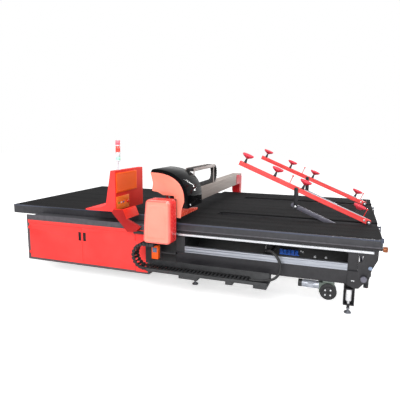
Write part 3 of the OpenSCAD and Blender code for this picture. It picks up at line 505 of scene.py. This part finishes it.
def pressed_cover():
    """The drive cover with the shallow panel that is pressed into its front."""
    # The face takes the palest colour, the sloping rim a deeper one and the sides the deep red, by
    # each face's normal: painted light and shade.
    made = rounded("drive_cover", 0.0, mats=[COVER_LIT_FRONT, RED_SHADED_SIDE, COVER_RIM_SHADING],
                   pick=lambda c, n: 0 if n.y < -0.92 else 2 if n.y < -0.25 else 1)
    bm = bmesh.new()
    bm.from_mesh(made.data)
    front = max((f for f in bm.faces if f.normal.y < -0.99), key=lambda f: f.calc_area())
    middle = front.calc_center_median()
    for shrink, sink in ((0.80, 0.0), (0.965, 0.0024), (0.99, 0.0)):
        front = bmesh.ops.extrude_discrete_faces(bm, faces=[front])["faces"][0]
        for vert in front.verts:
            vert.co = middle + (vert.co - middle) * shrink
            vert.co.y += sink
        middle.y = front.verts[-1].co.y
    sharpen(bm, 28)
    bm.to_mesh(made.data)
    bm.free()


pressed_cover()
rounded("console_body", 0.008, 3, mats=[FINISH["red"], SIDE_RED],
        pick=lambda c, n: 1 if n.x > 0.5 else 0)
# The arm's right and rear faces take the brighter red and its other faces the dark red: lit and
# shaded copies of one paint, painted light and shade; the black part keeps its own colour.
rounded("console_arm", 0.004, mats=[FINISH["dark_red"], ARM_LIT_SIDE, FINISH["black_plastic"]],
        pick=lambda c, n: 2 if c.x > 2300 and abs(c.z - 723) < 25
        else 1 if n.x > 0.5 or c.y > 0 else 0)
rounded("tower_lenses", 0.002, mats=[FINISH["lens"], GREEN_LENS, PINK_LENS],
        pick=lambda c, n: 1 if c.z < 1690 else 2 if c.z > 1809 else 0)


# ---------------------------------------------------------------- energy chains
def link_mesh(pitch, height, width, closed):
    """One chain link along +X, its plates and cross bars, centred on its middle. A closed link
    has a lid and a floor, so that no light comes through the chain."""
    bm = bmesh.new()
    if closed:
        made = bmesh.ops.create_cube(bm, size=1.0)["verts"]
        bmesh.ops.scale(bm, vec=(pitch * 0.98, width * 0.84, height * 0.84), verts=made)
    for side in (-1, 1):
        for shift, length, thick, out in ((-0.12, 0.72, 0.09, 0.0), (0.22, 0.62, 0.07, 0.065)):
            made = bmesh.ops.create_cube(bm, size=1.0)["verts"]
            bmesh.ops.scale(bm, vec=(pitch * length, width * thick, height * 0.96), verts=made)
            offset = side * width * (0.5 - thick / 2 - out)
            bmesh.ops.translate(bm, vec=(pitch * shift, offset, 0), verts=made)
            edges = [e for e in {e for v in made for e in v.link_edges}
                     if abs(e.verts[0].co.y - e.verts[1].co.y) > 1e-6]
            break_edges(bm, edges, height * 0.3, 3)
        pin = bmesh.ops.create_cone(bm, cap_ends=True, segments=12, radius1=height * 0.2,
                                    radius2=height * 0.16, depth=width * 0.03)["verts"]
        outwards = Matrix.Rotation(-side * math.pi / 2, 3, "X")
        bmesh.ops.rotate(bm, cent=(0, 0, 0), matrix=outwards, verts=pin)
        bmesh.ops.translate(bm, vec=(-pitch * 0.34, side * width * 0.5, 0), verts=pin)
    for level in (-1, 1):
        made = bmesh.ops.create_cube(bm, size=1.0)["verts"]
        bmesh.ops.scale(bm, vec=(pitch * 0.42, width * 0.9, height * 0.12), verts=made)
        bmesh.ops.translate(bm, vec=(0, 0, level * height * 0.40), verts=made)
    return bm


def chain(name, node, body, place_on_table, first, radius, last, pitch, height, width,
          closed=False):
    """Sets links along a first straight run, a half turn and a last straight run, all in metres.
    With no body given, the three stretches become pieces of their own, on no body."""
    turn = math.pi * radius
    total = first + turn + last
    count = int(round(total / pitch))
    step = total / count
    one = link_mesh(step, height, width, closed)
    mesh_one = bpy.data.meshes.new(name + "_link")
    one.to_mesh(mesh_one)
    one.free()
    names = [name] if body else [name + "_moving_run", name + "_bend", name + "_fixed_run"]
    stretches = [bmesh.new() for _ in names]
    for i in range(count):
        s = (i + 0.5) * step
        if s < first:
            bm = stretches[0]
            place = Matrix.Translation((first - s, 0, -radius))
        elif s < first + turn:
            bm = stretches[len(names) // 2]
            angle = (s - first) / radius
            place = Matrix.Rotation(angle, 4, "Y") @ Matrix.Translation((0, 0, -radius))
        else:
            bm = stretches[-1]
            place = Matrix.Translation((s - first - turn, 0, radius))
            place = place @ Matrix.Rotation(math.pi, 4, "Y")
        start = len(bm.verts)
        bm.from_mesh(mesh_one)
        bm.verts.ensure_lookup_table()
        bmesh.ops.transform(bm, matrix=place_on_table @ place, verts=bm.verts[start:])
    bpy.data.meshes.remove(mesh_one)
    made = [piece(part, bm, FINISH["black_plastic"], body)
            for part, bm in zip(names, stretches)]
    for stretch in made:
        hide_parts(node)
    return made


chain("long_chain_links", "x_chain", "table", Matrix.Translation(at(2530, -171, 482)),
      first=1.296, radius=0.150, last=0.068, pitch=0.046, height=0.043, width=0.136)

chain_x, bend_y = 2842, 1420
moving_run, bend, fixed_run = chain(
    "head_chain", "y_chain", None,
    Matrix.Translation(at(chain_x, bend_y, 1376.15)) @ Matrix.Rotation(-math.pi / 2, 4, "Z"),
    first=1.100, radius=0.11715, last=0.890, pitch=0.036, height=0.035, width=0.095, closed=True)
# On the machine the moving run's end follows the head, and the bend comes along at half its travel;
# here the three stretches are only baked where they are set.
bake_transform(moving_run)
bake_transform(bend)
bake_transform(fixed_run)


# ---------------------------------------------------------------- trim and small hardware
FRONTWARDS = (0, -1, 0)


def trim(name, boxes, mat, bevel):
    """Thin strips on the table, each given by two opposite corners."""
    bm = bmesh.new()
    for low, high in boxes:
        add_box(bm, low, high, bevel)
    return piece(name, bm, mat, "table")


def bolt_heads(name, places, radius, height, body="table", axis=FRONTWARDS,
               mat=BRIGHT_STEEL):
    """Domed bolt heads with washers, all facing along one axis."""
    bm = bmesh.new()
    for place in places:
        add_rod(bm, place, axis, radius * 1.35, height * 0.3, bevel=height * 0.08)
        top = [p + a * height * 0.3 for p, a in zip(place, axis)]
        add_rod(bm, top, axis, radius, height * 0.7, taper=radius * 0.8, bevel=height * 0.2)
    return piece(name, bm, mat, body)


def bay_hardware():
    """Two studs, and five small valves on one base with their hose ports, on the bay's sheet."""
    sheet_y, pitch = 639.9, 48
    bolt_heads("bay_studs", [(4486, sheet_y, 444), (4618, sheet_y, 446)], 11, 14)
    bm = bmesh.new()
    add_box(bm, (4040, 610, 440), (4290, sheet_y, 452), 0.002)
    for k in range(5):
        left = 4048 + pitch * k
        add_box(bm, (left, 596, 452), (left + 38, sheet_y, 512 - 4 * (k % 2)), 0.004)
        add_rod(bm, (left + 19, 596, 470), FRONTWARDS, 9, 14, 20, bevel=1.5)
    piece("valve_block", bm, BLUE_HOSE, "table")
    bolt_heads("valve_ports", [(4310, sheet_y, 500), (4335, sheet_y, 492)], 8, 12)


def arm_bolts():
    """Bolt heads at the pivots of each arm, its yoke and its lever, at the rest angle."""
    pivot_x, pivot_z, lever_z, reach = 5090.0, 900.0, 670.0, 965
    rise = math.radians(22.6)
    for side, y in (("front", 825.0), ("rear", 2320.0)):
        on_arm = (pivot_x - 60 * math.cos(rise), y - 29.0, pivot_z + 60 * math.sin(rise))
        on_lever = (pivot_x - reach * math.cos(rise), y - 42.0, lever_z + reach * math.sin(rise))
        bolt_heads(side + "_arm_bolts", [on_arm], 10, 8, "arms")
        bolt_heads(side + "_yoke_bolts", [(pivot_x, y - 49.0, pivot_z)], 12, 9, "lift")
        bolt_heads(side + "_lever_bolt", [on_lever], 11, 9, "links")


# The strips stand for the fascia's top edge trim, and their light bluish tone is that edge's
# highlight, painted.
trim("fascia_trim", [((2601, -1.6, 864), (5199, 0.0, 880)), ((13, 328.4, 864), (2599, 330.0, 880))],
     TRIM_BLUE, 0.0006)
# The step strip is a real step, painted paler as the lit edge of the ledge: a painted highlight.
trim("step_trim", [((2605, -4, 787), (5199, 0.0, 803))], LEDGE_EDGE_HIGHLIGHT, 0.0015)
bay_hardware()
flange_x, flange_z, flange_pitch = 4682, 239, 38
bolt_heads("gear_flange_bolts", [(flange_x + flange_pitch * c, 0, flange_z + flange_pitch * v)
                                 for c, v in ((-0.8, 0.6), (0.7, 0.7), (-0.8, -0.8), (0.7, -0.8))],
           7, 9)
bolt_heads("brace_caps", [(5096, 8, 562)], 15, 16, mat=PIPE_BLUE)
bolt_heads("hood_screws", [(3023, 60, 1110), (3015, 88, 1096)], 7, 6, "bridge",
           axis=(1, 0, 0))
bolt_heads("brace_bolts", [(4920, 8, 404), (4938, 8, 404)], 6, 7)
arm_bolts()


# ---------------------------------------------------------------- conduit into the chain
route = [(3990, 640, 560), (3985, 480, 546), (3975, 300, 560), (3962, 130, 606), (3988, 30, 640),
         (4060, -30, 640), (4138, -55, 560), (4158, -70, 450), (4115, -100, 368), (4015, -138, 336),
         (3930, -164, 331), (3832, -171, 332)]
conduit = tube("chain_conduit", route, 16, RUBBER, "table")
